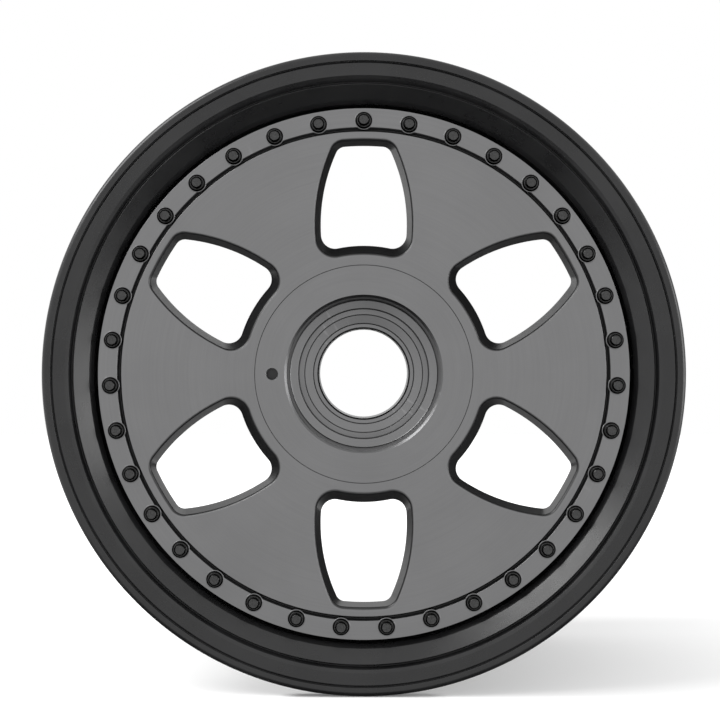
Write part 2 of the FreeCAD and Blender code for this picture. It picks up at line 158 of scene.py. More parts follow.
CAMERA_PLACE = (-0.0031, -1.335, 0.0115)
CAMERA_ANGLE = math.radians(27.35)


# Shapes by turning, bridging and rounding

def spot(radius, depth, angle=0.0):
    """A point by its distance from the wheel's axis, its depth and its angle from the right."""
    return Vector((radius * MM * math.cos(angle), depth * MM, radius * MM * math.sin(angle)))


def round_corner(bm, corner, rounding):
    """Rounds one corner of a wire to a radius."""
    sides = [edge.other_vert(corner).co - corner.co for edge in corner.link_edges]
    half_turn = (math.pi - sides[0].angle(sides[1])) / 2
    bmesh.ops.bevel(
        bm,
        geom=[corner],
        offset=rounding * MM * math.tan(half_turn),
        offset_type="OFFSET",
        segments=max(2, round(2 * half_turn / ROUND_STEP)),
        profile=0.5,
        affect="VERTICES",
        material=-1,
    )


def draw_profile(bm, corners, closed=False):
    """A wire through corners given as radius, depth and rounding."""
    points = [bm.verts.new(spot(radius, depth)) for radius, depth, rounding in corners]
    followers = points[1:] + points[:1] if closed else points[1:]
    for point, follower in zip(points, followers):
        bm.edges.new((point, follower))
    for point, (radius, depth, rounding) in zip(points, corners):
        if rounding:
            round_corner(bm, point, rounding)


def turn_wires(bm, centre=(0, 0, 0), steps=TURN_STEPS):
    """Turns every loose wire once round an axis along the wheel's."""
    wires = [edge for edge in bm.edges if edge.is_wire]
    points = list({point for edge in wires for point in edge.verts})
    bmesh.ops.spin(
        bm,
        geom=points + wires,
        cent=centre,
        axis=AXIS,
        angle=2 * math.pi,
        steps=steps,
        use_merge=True,
    )


def carry_arc(bm, start, centre, end, steps):
    """Draws an arc on from a vertex, the short way round a centre, and returns its last vertex."""
    first = math.atan2(start.co.z - centre.z, start.co.x - centre.x)
    last = math.atan2(end.z - centre.z, end.x - centre.x)
    angle = math.remainder(last - first, 2 * math.pi)
    swept = bmesh.ops.spin(bm, geom=[start], cent=centre, axis=AXIS, angle=angle, steps=steps)
    return swept["geom_last"][0]


def carry_line(bm, start, end, steps):
    """Draws a straight run on from a vertex and returns its last vertex."""
    stride = (end - start.co) / steps
    swept = bmesh.ops.spin(bm, geom=[start], cent=start.co, axis=AXIS, dvec=stride, angle=0, steps=steps)
    return swept["geom_last"][0]


def ring_edges(bm, radius, depth):
    """The open edges that lie on a circle about the wheel's axis."""
    def lies_on(point):
        off_circle = abs(math.hypot(point.co.x, point.co.z) / MM - radius)
        return off_circle < NEAR and abs(point.co.y / MM - depth) < NEAR
    return [edge for edge in bm.edges if edge.is_boundary and all(map(lies_on, edge.verts))]


def draw_circle(bm, centre, radius, sides):
    """The points of a circle in the plane of the wheel's face."""
    upright = Matrix.Translation(centre) @ Matrix.Rotation(math.pi / 2, 4, "X")
    return bmesh.ops.create_circle(bm, segments=sides, radius=radius * MM, matrix=upright)["verts"]


def edges_at(points):
    """The edges that meet in any of these points."""
    return list({edge for point in points for edge in point.link_edges})


def hole_mouth(bm, centre, radius):
    """The edges round the mouth of a hole."""
    return edges_at(draw_circle(bm, centre, radius, HOLE_SIDES))


def repeat_round(bm, count):
    """Copies all that is built to a number of equal places round the wheel's axis."""
    bmesh.ops.spin(
        bm,
        geom=bm.verts[:] + bm.edges[:] + bm.faces[:],
        cent=(0, 0, 0),
        axis=AXIS,
        angle=2 * math.pi * (count - 1) / count,
        steps=count - 1,
        use_duplicate=True,
    )


def sink(bm, edges, centre, scale, depth):
    """Carries an open ring of edges to a depth, scaled about its centre, and returns the new ring."""
    grown = bmesh.ops.extrude_edge_only(bm, edges=edges)["geom"]
    points = [part for part in grown if isinstance(part, bmesh.types.BMVert)]
    bmesh.ops.scale(bm, vec=(scale, 1, scale), space=Matrix.Translation(-centre), verts=points)
    bmesh.ops.translate(bm, vec=(0, depth * MM, 0), verts=points)
    return [part for part in grown if isinstance(part, bmesh.types.BMEdge) and part.is_boundary]


def blind_hole(bm, mouth, centre, radius, depth):
    """Walls and floor of a hole whose mouth is eased; depth is negative for a hole cut from the back."""
    ease = math.copysign(HOLE_EASE, depth)
    wall = sink(bm, mouth, centre, radius / (radius + HOLE_EASE), ease)
    foot = sink(bm, wall, centre, 1.0, depth - ease)
    bmesh.ops.edgeloop_fill(bm, edges=foot)


def show_mesh(name, bm, material):
    """Makes what was built an object of the scene, in one finish."""
    mesh = bpy.data.meshes.new(name)
    bm.to_mesh(mesh)
    bm.free()
    mesh.materials.append(material)
    shown = bpy.data.objects.new(name, mesh)
    bpy.context.scene.collection.objects.link(shown)
    return shown


def finish_piece(name, bm, material, nodes):
    """Closes a mesh's seams, turns its faces outwards and makes it a piece of the wheel."""
    bmesh.ops.remove_doubles(bm, verts=bm.verts[:], dist=NEAR * MM)
    bmesh.ops.recalc_face_normals(bm, faces=bm.faces[:])
    piece = show_mesh(name, bm, material)
    piece.data.shade_smooth()
    piece.data.set_sharp_from_angle(angle=SHARP_ANGLE)
    weighted = piece.modifiers.new("flat faces stay flat", "WEIGHTED_NORMAL")
    weighted.weight = 100
    weighted.keep_sharp = True
    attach(piece, "root")
    if nodes:
        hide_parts(*nodes)


# The centre disc

def crossing(first, second, centre):
    """The right-hand crossing of a circle about the axis and one about another centre."""
    gap = math.hypot(centre.x, centre.z)
    along = (first ** 2 - second ** 2 + gap ** 2) / (2 * gap)
    off = math.sqrt(first ** 2 - along ** 2)
    over, up = centre.x / gap, centre.z / gap
    return Vector((along * over + off * up, centre.y, along * up - off * over))


def towards(centre, radius, point):
    """The point of a circle that lies towards another point."""
    return centre + (point - centre).normalized() * radius


def draw_half_window(bm, offsets, depth):
    """The right half of the top window's outline, clockwise, as a chain of five arcs.

    The offsets say how far it lies outside the rear outline: towards the lip, at the side and towards
    the hub.
    """
    axis = spot(0, depth)
    side_height = WINDOW_OUTER - WINDOW_WIDEST
    side_bend = (side_height ** 2 + WINDOW_SIDE_BOW ** 2) / (2 * WINDOW_SIDE_BOW)
    side = Vector((WINDOW_HALF_WIDTH - side_bend, 0, WINDOW_WIDEST)) * MM + axis
    to_lip, to_side, to_hub = offsets
    outer = (WINDOW_OUTER + to_lip) * MM
    inner = (WINDOW_INNER - to_hub) * MM
    side_radius = (side_bend + to_side) * MM
    outer_corner = (WINDOW_OUTER_CORNER + to_side) * MM
    inner_corner = (WINDOW_INNER_CORNER + to_side) * MM
    top = crossing(outer - outer_corner, side_radius - outer_corner, side)
    foot = crossing(inner + inner_corner, side_radius - inner_corner, side)
    before = set(bm.edges)
    last = bm.verts.new(spot(outer / MM, depth, math.pi / 2))
    last = carry_arc(bm, last, axis, towards(axis, outer, top), OUTER_EDGE_STEPS)
    last = carry_arc(bm, last, top, towards(side, side_radius, top), OUTER_CORNER_STEPS)
    last = carry_arc(bm, last, side, towards(side, side_radius, foot), SIDE_STEPS)
    last = carry_arc(bm, last, foot, towards(axis, inner, foot), INNER_CORNER_STEPS)
    carry_arc(bm, last, axis, spot(inner / MM, depth, math.pi / 2), INNER_EDGE_STEPS)
    return [edge for edge in bm.edges if edge not in before]


def draw_half_sector(bm, depth):
    """The border of the twelfth of the web that holds that half, as a chain with as many steps."""
    axis = spot(0, depth)
    top, side = math.pi / 2, math.pi / 2 - math.pi / WINDOW_COUNT
    arc_steps = TURN_STEPS // WINDOW_COUNT // 2
    corner_steps = OUTER_CORNER_STEPS + INNER_CORNER_STEPS
    window_steps = OUTER_EDGE_STEPS + SIDE_STEPS + INNER_EDGE_STEPS + corner_steps
    before = set(bm.edges)
    last = bm.verts.new(spot(WEB_OUTER, depth, top))
    last = carry_arc(bm, last, axis, spot(WEB_OUTER, depth, side), arc_steps)
    last = carry_line(bm, last, spot(WEB_INNER, depth, side), window_steps - 2 * arc_steps)
    carry_arc(bm, last, axis, spot(WEB_INNER, depth, top), arc_steps)
    return [edge for edge in bm.edges if edge not in before]


def build_web(bm):
    """The flat web with its six windows, rounded at the face, drafted behind and eased at the back."""
    flush = Vector((0, 0, 0))
    ease = Vector((1, 1, 1)) * WINDOW_REAR_EASE
    chains = [draw_half_sector(bm, LAND)]
    for step in range(ROUNDING_STEPS + 1):
        angle = WINDOW_ROUNDING_ANGLE * step / ROUNDING_STEPS
        offsets = WINDOW_FACE.lerp(WINDOW_DRAFT, math.sin(angle) / math.sin(WINDOW_ROUNDING_ANGLE))
        chains.append(draw_half_window(bm, offsets, LAND + WINDOW_ROUNDING * (1 - math.cos(angle))))
    chains.append(draw_half_window(bm, flush, WEB_BACK - WINDOW_REAR_EASE))
    chains.append(draw_half_window(bm, ease, WEB_BACK))
    chains.append(draw_half_sector(bm, WEB_BACK))
    for chain, follower in zip(chains, chains[1:]):
        bmesh.ops.bridge_loops(bm, edges=chain + follower)
    bmesh.ops.mirror(bm, geom=bm.verts[:] + bm.edges[:] + bm.faces[:], axis="X", merge_dist=NEAR * MM)
    repeat_round(bm, WINDOW_COUNT)


def draw_disc_rings(bm):
    """Profiles of the bolted flange, the hub's opening and bore, and the boss behind it."""
    draw_profile(bm, [
        (WEB_OUTER, LAND, 0),
        (GROOVE_INNER, LAND, 0.3),
        (GROOVE_INNER + GROOVE_WALL, GROOVE_FLOOR, 0.15),
        (LAND_INNER - GROOVE_WALL, GROOVE_FLOOR, 0.15),
        (LAND_INNER, LAND, 0.3),
        (DISC_EDGE, LAND, 0.25),
        (DISC_EDGE, FLANGE_BACK, 0.4),
        (SPIGOT_RADIUS, FLANGE_BACK, 0.3),
        (SPIGOT_RADIUS, WEB_BACK, 0.3),
        (WEB_OUTER, WEB_BACK, 0),
    ])
    draw_profile(bm, [
        (WEB_INNER, LAND, 0),
        (TURNED_LINE + TURNED_LINE_HALF, LAND, 0),
        (TURNED_LINE, LAND + TURNED_LINE_DEPTH, 0),
        (TURNED_LINE - TURNED_LINE_HALF, LAND, 0),
        (FACE_STRIP_OUTER, LAND, 0),
    ])
    draw_profile(bm, [
        (FACE_STRIP_INNER, LAND, 0),
        (OPENING, LAND, 0.4),
        (NUT_WELL, LAND + OPENING - NUT_WELL, 0.9),
        (NUT_WELL, NUT_WELL_FOOT + 0.8, 1.5),
        (RING_OUTER + SEAT_LINE_HALF, NUT_WELL_FOOT + 2.2, 0.2),
        (RING_OUTER, RING_DEPTH + 0.4, 0.1),
        (RING_OUTER - SEAT_LINE_HALF, RING_DEPTH, 0.2),
        (RING_INNER + RING_LINE_HALF, RING_DEPTH, 0.15),
        (RING_INNER, RING_DEPTH + 0.8, 0.1),
        (RING_INNER - RING_LINE_HALF, RING_DEPTH + 0.2, 0.15),
        (THROAT + RING_LINE_HALF, RING_DEPTH + 1.5, 0.15),
        (THROAT, THROAT_DEPTH + 0.5, 0.1),
        (THROAT - RING_LINE_HALF, THROAT_DEPTH, 0.15),
        (BORE + BORE_CHAMFER, THROAT_DEPTH, 0.2),
        (BORE, THROAT_DEPTH + BORE_CHAMFER, 0.2),
        (BORE, HUB_BACK, 0.5),
        (BACK_STRIP_INNER, HUB_BACK, 0),
    ])
    draw_profile(bm, [
        (BACK_STRIP_OUTER, HUB_BACK, 0),
        (BOSS, HUB_BACK, 0.8),
        (BOSS, WEB_BACK + BOSS_FLARE, 3),
        (BOSS + BOSS_FLARE, WEB_BACK, 3),
        (WEB_INNER, WEB_BACK, 0),
    ])


def fill_hub_face(bm):
    """The face round the opening, with its blind index hole at nine o'clock."""
    centre = spot(INDEX_CIRCLE, LAND, math.pi)
    mouth = hole_mouth(bm, centre, INDEX_RADIUS + HOLE_EASE)
    border = ring_edges(bm, FACE_STRIP_OUTER, LAND) + ring_edges(bm, FACE_STRIP_INNER, LAND)
    bmesh.ops.triangle_fill(bm, use_beauty=True, edges=border + mouth, normal=AXIS)
    blind_hole(bm, mouth, centre, INDEX_RADIUS, INDEX_DEPTH)


def fill_mounting_face(bm):
    """The face against the hub of the car, with the holes that hold the drive bushes."""
    border = ring_edges(bm, BACK_STRIP_OUTER, HUB_BACK) + ring_edges(bm, BACK_STRIP_INNER, HUB_BACK)
    holes = []
    for index in range(DRIVE_COUNT):
        angle = math.pi / 2 + index * 2 * math.pi / DRIVE_COUNT
        centre = spot(DRIVE_CIRCLE, HUB_BACK, angle)
        holes.append((centre, hole_mouth(bm, centre, DRIVE_RADIUS + HOLE_EASE)))
    mouths = [edge for centre, mouth in holes for edge in mouth]
    bmesh.ops.triangle_fill(bm, use_beauty=True, edges=border + mouths, normal=(0, 1, 0))
    for centre, mouth in holes:
        blind_hole(bm, mouth, centre, DRIVE_RADIUS, BUSH_END - HUB_BACK)


def make_disc(material):
    """The forged and turned centre of the wheel."""
    bm = bmesh.new()
    build_web(bm)
    draw_disc_rings(bm)
    turn_wires(bm)
    fill_hub_face(bm)
    fill_mounting_face(bm)
    finish_piece("forged_disc", bm, material, ["centre_disc"])


def draw_bolt_profile(bm, corners):
    """A wire beside the top bolt's axis, given as radius about that axis, depth and rounding."""
    draw_profile(bm, corners)
    wires = {point for edge in bm.edges if edge.is_wire for point in edge.verts}
    bmesh.ops.translate(bm, vec=(0, 0, BOLT_CIRCLE * MM), verts=list(wires))


def make_bolt_pads(material):
    """The turned pads of the land that reach into the groove under each bolt."""
    bm = bmesh.new()
    draw_bolt_profile(bm, [
        (BOLT_PAD_RADIUS, BOLT_PAD_FOOT, 0),
        (BOLT_PAD_RADIUS, LAND - BOLT_PAD_PROUD, 0.25),
        (BOLT_FLANGE - 1, LAND - BOLT_PAD_PROUD, 0),
        (BOLT_FLANGE - 1, BOLT_PAD_FOOT, 0),
        (BOLT_PAD_RADIUS - 0.05, BOLT_PAD_FOOT, 0),
    ])
    turn_wires(bm, spot(BOLT_CIRCLE, LAND, math.pi / 2), BOLT_STEPS)
    repeat_round(bm, BOLT_COUNT)
    finish_piece("bolt_pads", bm, material, [])


def make_bolts(material):
    """Flanged bolts with twelve-point heads, shallowly dished on top."""
    bm = bmesh.new()
    draw_bolt_profile(bm, [
        (BOLT_FLANGE, LAND, 0),
        (BOLT_FLANGE, BOLT_FLANGE_EDGE, 0.3),
        (BOLT_COLLAR, BOLT_COLLAR_DEPTH, 0.2),
        (BOLT_HEAD, BOLT_COLLAR_DEPTH, 0),
    ])
    centre = spot(BOLT_CIRCLE, BOLT_COLLAR_DEPTH, math.pi / 2)
    turn_wires(bm, centre, BOLT_STEPS)
    head = draw_circle(bm, centre, BOLT_HEAD, 2 * BOLT_POINTS)
    ring = edges_at(head)
    valleys = head[1::2]
    pull = BOLT_HEAD_VALLEY / BOLT_HEAD
    bmesh.ops.scale(bm, vec=(pull, 1, pull), space=Matrix.Translation(-centre), verts=valleys)
    chamfer = BOLT_HEAD - BOLT_TOP_RADIUS
    rise = BOLT_TOP - BOLT_COLLAR_DEPTH
    shoulder = sink(bm, ring, centre, 1.0, rise + chamfer)
    brim = sink(bm, shoulder, centre, BOLT_TOP_RADIUS / BOLT_HEAD, -chamfer)
    dish = sink(bm, brim, centre, BOLT_BRIM_SCALE, 0.0)
    floor = sink(bm, dish, centre, BOLT_DISH_RADIUS / BOLT_TOP_RADIUS, BOLT_DISH)
    bmesh.ops.edgeloop_fill(bm, edges=floor)
    repeat_round(bm, BOLT_COUNT)
    finish_piece("flange_bolts", bm, material, ["rim_bolts"])


# The rim

def make_rim(material):
    """The rim as one turned ring: rolled lip, stepped band, cone, bead seats, well and barrel."""
    bead = RIM_RADIUS - 17.3
    seat_foot = bead - 1.75
    flange = 13.0
    seat = 20.0
    wall = 4.0
    well = bead - 22.7
    well_front = RIM_FRONT + 46
    well_rear = RIM_FRONT + 88
    barrel = bead - 7.7
    barrel_front = RIM_FRONT + 110
    barrel_rear = RIM_REAR - flange - seat - 6
    band = RIM_RADIUS - 7.4
    band_inner = RIM_RADIUS - 19.1
    band_depth = RIM_FRONT + 0.8
    shoulder_depth = band_depth + 2.7
    shoulder = band_inner - 5.0
    pocket = DISC_RADIUS + 4.2
    mount_bore = SPIGOT_RADIUS + 0.3
    mount_back = FLANGE_BACK + 9
    bm = bmesh.new()
    draw_profile(bm, [
        (band, RIM_FRONT, 0.3),
        (RIM_RADIUS, RIM_FRONT, 4),
        (RIM_RADIUS, RIM_FRONT + flange, 3.5),
        (bead, RIM_FRONT + flange, 6),
        (seat_foot, RIM_FRONT + flange + seat, 4),
        (well, well_front, 6),
        (well, well_rear, 6),
        (barrel, barrel_front, 6),
        (barrel, barrel_rear, 3),
        (seat_foot, RIM_REAR - flange - seat, 3),
        (bead, RIM_REAR - flange, 6),
        (RIM_RADIUS, RIM_REAR - flange, 3.5),
        (RIM_RADIUS, RIM_REAR, 1),
        (RIM_RADIUS - 9, RIM_REAR, 3),
        (barrel - wall, RIM_REAR - 23, 8),
        (barrel - wall, barrel_front, 6),
        (well - wall, well_rear, 6),
        (well - wall, mount_back, 3),
        (mount_bore, mount_back, 0.5),
        (mount_bore, FLANGE_BACK, 0.3),
        (DISC_RADIUS + 0.3, FLANGE_BACK, 0.2),
        (DISC_RADIUS + 2.3, FLANGE_BACK + 4, 0.4),
        (pocket, FLANGE_BACK - 1, 0.6),
        (pocket, FLANGE_BACK - 4.9, 1.5),
        (pocket + 3.5, FLANGE_BACK - 9.1, 1.2),
        (shoulder - 1.8, shoulder_depth - 1.1, 0.3),
        (shoulder, shoulder_depth + 2.4, 0.4),
        (shoulder + 2.4, shoulder_depth - 1.3, 0.3),
        (band_inner, band_depth, 0.6),
        (band - 2.0, band_depth, 0.3),
        (band - 0.3, band_depth + 1.2, 0.3),
    ], closed=True)
    turn_wires(bm)
    finish_piece("forged_rim", bm, material, ["rim"])


# Finishes

def add_node(tree, kind, **settings):
    """A node with its own settings, and values for inputs given as a dict."""
    made = tree.nodes.new(kind)
    inputs = settings.pop("inputs", {})
    for name, setting in settings.items():
        setattr(made, name, setting)
    for name, setting in inputs.items():
        made.inputs[name].default_value = setting
    return made


def arithmetic(tree, operation, first, second):
    """The result of an operation on two sockets or numbers."""
    made = add_node(tree, "ShaderNodeMath", operation=operation)
    for socket, given in zip(made.inputs, (first, second)):
        if isinstance(given, (int, float)):
            socket.default_value = given
        else:
            tree.links.new(given, socket)
    return made.outputs[0]


def new_group(name, sliders, results):
    """A node group with number inputs and number results."""
    tree = bpy.data.node_groups.new(name, "ShaderNodeTree")
    for slider, setting in sliders.items():
        socket = tree.interface.new_socket(slider, in_out="INPUT", socket_type="NodeSocketFloat")
        socket.default_value = setting
    for result in results:
        tree.interface.new_socket(result, in_out="OUTPUT", socket_type="NodeSocketFloat")
    return tree, tree.nodes.new("NodeGroupInput"), tree.nodes.new("NodeGroupOutput")


def object_place(tree):
    """Sockets for a point's place across the wheel, along its axis and upwards."""
    parts = add_node(tree, "ShaderNodeSeparateXYZ")
    tree.links.new(add_node(tree, "ShaderNodeTexCoord").outputs["Object"], parts.inputs[0])
    return parts.outputs


def squared_radius(tree, across, up):
    """The square of a point's distance from the wheel's axis."""
    across_squared = arithmetic(tree, "MULTIPLY", across, across)
    return arithmetic(tree, "ADD", across_squared, arithmetic(tree, "MULTIPLY", up, up))


def turning_marks_group():
    """Fine circular tool marks about the wheel's axis, from 0 to 1."""
    tree, given, result = new_group("turning marks", {"Marks": 900.0, "Sweep": 2.0}, ["Mark"])
    place = object_place(tree)
    across, up = place["X"], place["Z"]
    squares = squared_radius(tree, across, up)
    radius = arithmetic(tree, "POWER", arithmetic(tree, "ADD", squares, 1e-8), 0.5)
    polar = add_node(tree, "ShaderNodeCombineXYZ")
    marks, sweep = given.outputs["Marks"], given.outputs["Sweep"]
    tree.links.new(arithmetic(tree, "MULTIPLY", radius, marks), polar.inputs["X"])
    for socket, side in (("Y", across), ("Z", up)):
        turned = arithmetic(tree, "MULTIPLY", arithmetic(tree, "DIVIDE", side, radius), sweep)
        tree.links.new(turned, polar.inputs[socket])
    noise = add_node(tree, "ShaderNodeTexNoise", inputs={"Scale": 1.0, "Detail": 3.0, "Roughness": 0.6})
    tree.links.new(polar.outputs[0], noise.inputs["Vector"])
    tree.links.new(noise.outputs["Fac"], result.inputs["Mark"])
    return tree


def mottle_group():
    """Uneven patches of handling and coating, from 0 to 1."""
    tree, given, result = new_group("mottle", {"Scale": 30.0, "Low": 0.35, "High": 0.7}, ["Patch"])
    place = add_node(tree, "ShaderNodeTexCoord").outputs["Object"]
    noise = add_node(tree, "ShaderNodeTexNoise", inputs={"Detail": 5.0, "Roughness": 0.6})
    tree.links.new(place, noise.inputs["Vector"])
    tree.links.new(given.outputs["Scale"], noise.inputs["Scale"])
    spread = add_node(tree, "ShaderNodeMapRange", interpolation_type="SMOOTHSTEP")
    tree.links.new(noise.outputs["Fac"], spread.inputs["Value"])
    tree.links.new(given.outputs["Low"], spread.inputs["From Min"])
    tree.links.new(given.outputs["High"], spread.inputs["From Max"])
    tree.links.new(spread.outputs["Result"], result.inputs["Patch"])
    return tree


def worn_and_highlit_edges_group():
    """Where an edge stands out enough to be worn, from 0 to 1; the lighter colour laid there is partly worn
    metal and partly a painted highlight.
    """
    tree, given, result = new_group("worn_and_highlit_edges", {"Start": 0.52, "Full": 0.6}, ["Wear"])
    shape = add_node(tree, "ShaderNodeNewGeometry")
    spread = add_node(tree, "ShaderNodeMapRange", interpolation_type="SMOOTHSTEP")
    tree.links.new(shape.outputs["Pointiness"], spread.inputs["Value"])
    tree.links.new(given.outputs["Start"], spread.inputs["From Min"])
    tree.links.new(given.outputs["Full"], spread.inputs["From Max"])
    tree.links.new(spread.outputs["Result"], result.inputs["Wear"])
    return tree


GROUPS = {
    "turning": turning_marks_group(),
    "mottle": mottle_group(),
    "wear_and_highlight": worn_and_highlit_edges_group(),
}


def use_group(tree, name, **sliders):
    """The result of a group whose sliders are set by name."""
    made = add_node(tree, "ShaderNodeGroup", node_tree=GROUPS[name])
    for slider, setting in sliders.items():
        made.inputs[slider].default_value = setting
    return made.outputs[0]


def blend(tree, mask, first, second):
    """A colour that goes from the first to the second by a mask; each is a grey, a colour or a socket."""
    made = add_node(tree, "ShaderNodeMix", data_type="RGBA")
    tree.links.new(mask, made.inputs["Factor"])
    for socket, given in ((made.inputs[6], first), (made.inputs[7], second)):
        if isinstance(given, (int, float)):
            socket.default_value = (given, given, given, 1)
        elif isinstance(given, tuple):
            socket.default_value = (*given, 1)
        else:
            tree.links.new(given, socket)
    return made.outputs[2]


def spread(tree, mask, low, high):
    """A number that goes from low to high by a mask."""
    made = add_node(tree, "ShaderNodeMapRange", inputs={"To Min": low, "To Max": high})
    tree.links.new(mask, made.inputs["Value"])
    return made.outputs["Result"]


def new_finish(name, **constants):
    """A material with a shader whose constant sockets are set by name."""
    material = bpy.data.materials.new(name)
    material.use_nodes = True
    shader = material.node_tree.nodes["Principled BSDF"]
    for socket, setting in constants.items():
        shader.inputs[socket.replace("_", " ")].default_value = setting
    return material, material.node_tree, shader


def raise_grain(tree, shader, height, strength, distance):
    """Fine relief under the gloss."""
    bump = add_node(tree, "ShaderNodeBump", inputs={"Strength": strength, "Distance": distance * MM})
    tree.links.new(height, bump.inputs["Height"])
    tree.links.new(bump.outputs["Normal"], shader.inputs["Normal"])


def recess_paint_and_shade(tree):
    """Where the face drops into a window, a groove, the index hole, the bore or the gap at the disc's edge,
    from 0 to 1; the black laid there is partly a black coat and partly painted shade.
    """
    across, depth, up = object_place(tree)
    squares = squared_radius(tree, across, up)
    outside = arithmetic(tree, "GREATER_THAN", squares, (PAINT_AND_SHADE_OUTSIDE * MM) ** 2)
    before_back = arithmetic(tree, "LESS_THAN", depth, PAINT_AND_SHADE_END * MM)
    sunk = add_node(
        tree,
        "ShaderNodeMapRange",
        interpolation_type="SMOOTHSTEP",
        inputs={"From Min": PAINT_AND_SHADE_START * MM, "From Max": PAINT_AND_SHADE_FULL * MM},
    )
    tree.links.new(depth, sunk.inputs["Value"])
    in_front = arithmetic(tree, "MULTIPLY", outside, before_back)
    cut = arithmetic(tree, "MULTIPLY", sunk.outputs["Result"], in_front)
    within = arithmetic(tree, "LESS_THAN", squares, (PAINT_AND_SHADE_WITHIN * MM) ** 2)
    return arithmetic(tree, "MAXIMUM", cut, within)


def turned_forging():
    """Clear-coated grey forging, turned on a lathe; black where it is cut into, partly a black coat and
    partly painted shade, and lighter on its edges, partly worn and partly a painted highlight.
    """
    material, tree, shader = new_finish("turned forging")
    fine = use_group(tree, "turning", Marks=700.0, Sweep=1.6)
    broad = use_group(tree, "turning", Marks=160.0, Sweep=0.9)
    patch = use_group(tree, "mottle", Scale=14.0)
    grain = use_group(tree, "mottle", Scale=2600.0, Low=0.3, High=0.75)
    wear_and_highlight = use_group(tree, "wear_and_highlight", Start=0.53, Full=0.62)
    paint_and_shade = recess_paint_and_shade(tree)
    metal = blend(tree, fine, (0.186, 0.186, 0.189), (0.236, 0.236, 0.238))
    metal = blend(tree, spread(tree, broad, 0.0, 0.5), metal, (0.222, 0.222, 0.225))
    metal = blend(tree, spread(tree, patch, 0.0, 0.25), metal, (0.185, 0.185, 0.187))
    # Lighter edges: partly worn metal, partly a painted highlight.
    metal = blend(tree, spread(tree, wear_and_highlight, 0.0, 0.4), metal, (0.33, 0.33, 0.335))
    # Black in the recesses: partly a black coat, partly painted shade.
    metal = blend(tree, paint_and_shade, metal, (0.012, 0.012, 0.0125))
    tree.links.new(metal, shader.inputs["Base Color"])
    tree.links.new(spread(tree, paint_and_shade, 1.0, 0.0), shader.inputs["Metallic"])
    rough = arithmetic(tree, "ADD", spread(tree, fine, 0.27, 0.33), spread(tree, patch, 0.0, 0.05))
    tree.links.new(rough, shader.inputs["Roughness"])
    relief = arithmetic(tree, "ADD", fine, arithmetic(tree, "MULTIPLY", grain, 0.3))
    raise_grain(tree, shader, relief, 0.09, 0.05)
    return material


def satin_black():
    """Satin black coat of the rim."""
    material, tree, shader = new_finish("satin black")
    patch = use_group(tree, "mottle", Scale=18.0)
    grain = use_group(tree, "mottle", Scale=1500.0, Low=0.3, High=0.75)
    turning = use_group(tree, "turning", Marks=420.0, Sweep=1.2)
    coat = blend(tree, patch, (0.008, 0.008, 0.0085), (0.013, 0.013, 0.0135))
    tree.links.new(coat, shader.inputs["Base Color"])
    rough = arithmetic(tree, "ADD", spread(tree, patch, 0.24, 0.31), spread(tree, turning, -0.02, 0.03))
    tree.links.new(rough, shader.inputs["Roughness"])
    relief = arithmetic(tree, "ADD", arithmetic(tree, "MULTIPLY", turning, 0.6), grain)
    raise_grain(tree, shader, relief, 0.08, 0.04)
    return material


def black_oxide():
    """Blackened steel of the bolts, with painted highlights: a thin light ring at the collar and a lighter
    top on each head.
    """
    material, tree, shader = new_finish("black oxide", Metallic=1.0)
    height = add_node(tree, "ShaderNodeMapRange", inputs={"From Min": LAND * MM, "From Max": BOLT_TOP * MM})
    tree.links.new(object_place(tree)["Y"], height.inputs["Value"])
    ramp = add_node(tree, "ShaderNodeValToRGB")
    collar = (LAND - BOLT_COLLAR_DEPTH) / (LAND - BOLT_TOP)
    # Painted highlights on the black: a thin light ring at the collar and a lighter top on each head.
    stops = (
        (0.0, 0.004),
        (collar - 0.02, 0.004),
        (collar - 0.004, 0.07),
        (collar + 0.02, 0.004),
        (0.95, 0.005),
        (0.975, 0.085),
    )
    band = ramp.color_ramp.elements
    while len(band) < len(stops):
        band.new(1.0)
    for stop, (position, grey) in zip(band, stops):
        stop.position = position
        stop.color = (grey, grey, grey, 1)
    tree.links.new(height.outputs["Result"], ramp.inputs["Fac"])
    grain = use_group(tree, "mottle", Scale=900.0, Low=0.3, High=0.75)
    highlights_with_grain = blend(tree, spread(tree, grain, 0.0, 0.5), ramp.outputs["Color"], 0.004)
    tree.links.new(highlights_with_grain, shader.inputs["Base Color"])
    tree.links.new(spread(tree, grain, 0.3, 0.42), shader.inputs["Roughness"])
    raise_grain(tree, shader, grain, 0.1, 0.03)
    return material


def plain_metal(name, dark, light, rough):
    """Machined small metal: bushes, valve and its core."""
    material, tree, shader = new_finish(name, Metallic=1.0)
    patch = use_group(tree, "mottle", Scale=220.0)
    grain = use_group(tree, "mottle", Scale=3000.0, Low=0.3, High=0.75)
    wear_and_highlight = use_group(tree, "wear_and_highlight", Start=0.53, Full=0.62)
    metal = blend(tree, patch, dark, light)
    # Lighter edges: partly worn metal, partly a painted highlight.
    metal = blend(tree, spread(tree, wear_and_highlight, 0.0, 0.5), metal, tuple(min(1.0, part * 1.25) for part in light))
    tree.links.new(metal, shader.inputs["Base Color"])
    tree.links.new(spread(tree, patch, rough, rough + 0.1), shader.inputs["Roughness"])
    raise_grain(tree, shader, grain, 0.08, 0.02)
    return material


def plain_black(name, rough):
    """Rubber and plastic of the valve."""
    material, tree, shader = new_finish(name)
    patch = use_group(tree, "mottle", Scale=300.0)
    grain = use_group(tree, "mottle", Scale=2200.0, Low=0.3, High=0.75)
    tree.links.new(blend(tree, patch, 0.012, 0.022), shader.inputs["Base Color"])
    tree.links.new(spread(tree, patch, rough, rough + 0.12), shader.inputs["Roughness"])
    raise_grain(tree, shader, grain, 0.15, 0.04)
    return material


def dress_node(name, material):
    """Gives a solid that is shown as it is its finish."""
    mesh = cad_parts[name].data
    mesh.materials.clear()
    mesh.materials.append(material)


